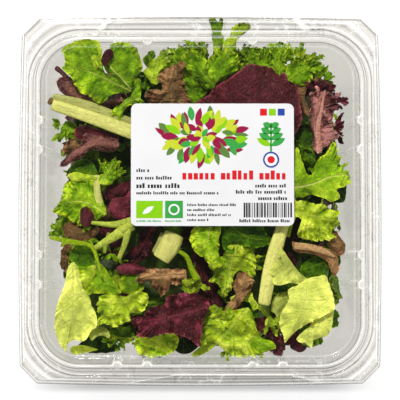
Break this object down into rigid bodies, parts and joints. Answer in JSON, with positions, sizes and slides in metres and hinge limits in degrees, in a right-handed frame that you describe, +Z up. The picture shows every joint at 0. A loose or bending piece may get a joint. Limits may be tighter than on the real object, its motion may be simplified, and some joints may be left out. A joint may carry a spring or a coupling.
{
  "type": "tray of baby salad leaves",
  "caption": "Clear square plastic tray with a domed press-fit lid and a paper label, filled with mixed baby salad leaves.",
  "frame": {"origin": "under the middle of the pack, on the plane that the tray's foot rests on", "axes": "+Z up through the lid, +Y towards the back edge with the wider rim, +X to the right as the label is read"},
  "size_m": [0.189, 0.193, 0.0724],
  "materials": {
    "tray_plastic": "clear, glossy",
    "lid_plastic": "clear, glossy",
    "label_paper": "coated paper with a soft sheen",
    "salad_leaf": "fresh leaves, slightly waxy"
  },
  "bodies": {
    "root": {"tray": "tray_plastic", "lid": "lid_plastic", "label": "label_paper", "salad_heap": "salad_leaf"}
  },
  "joints": []
}
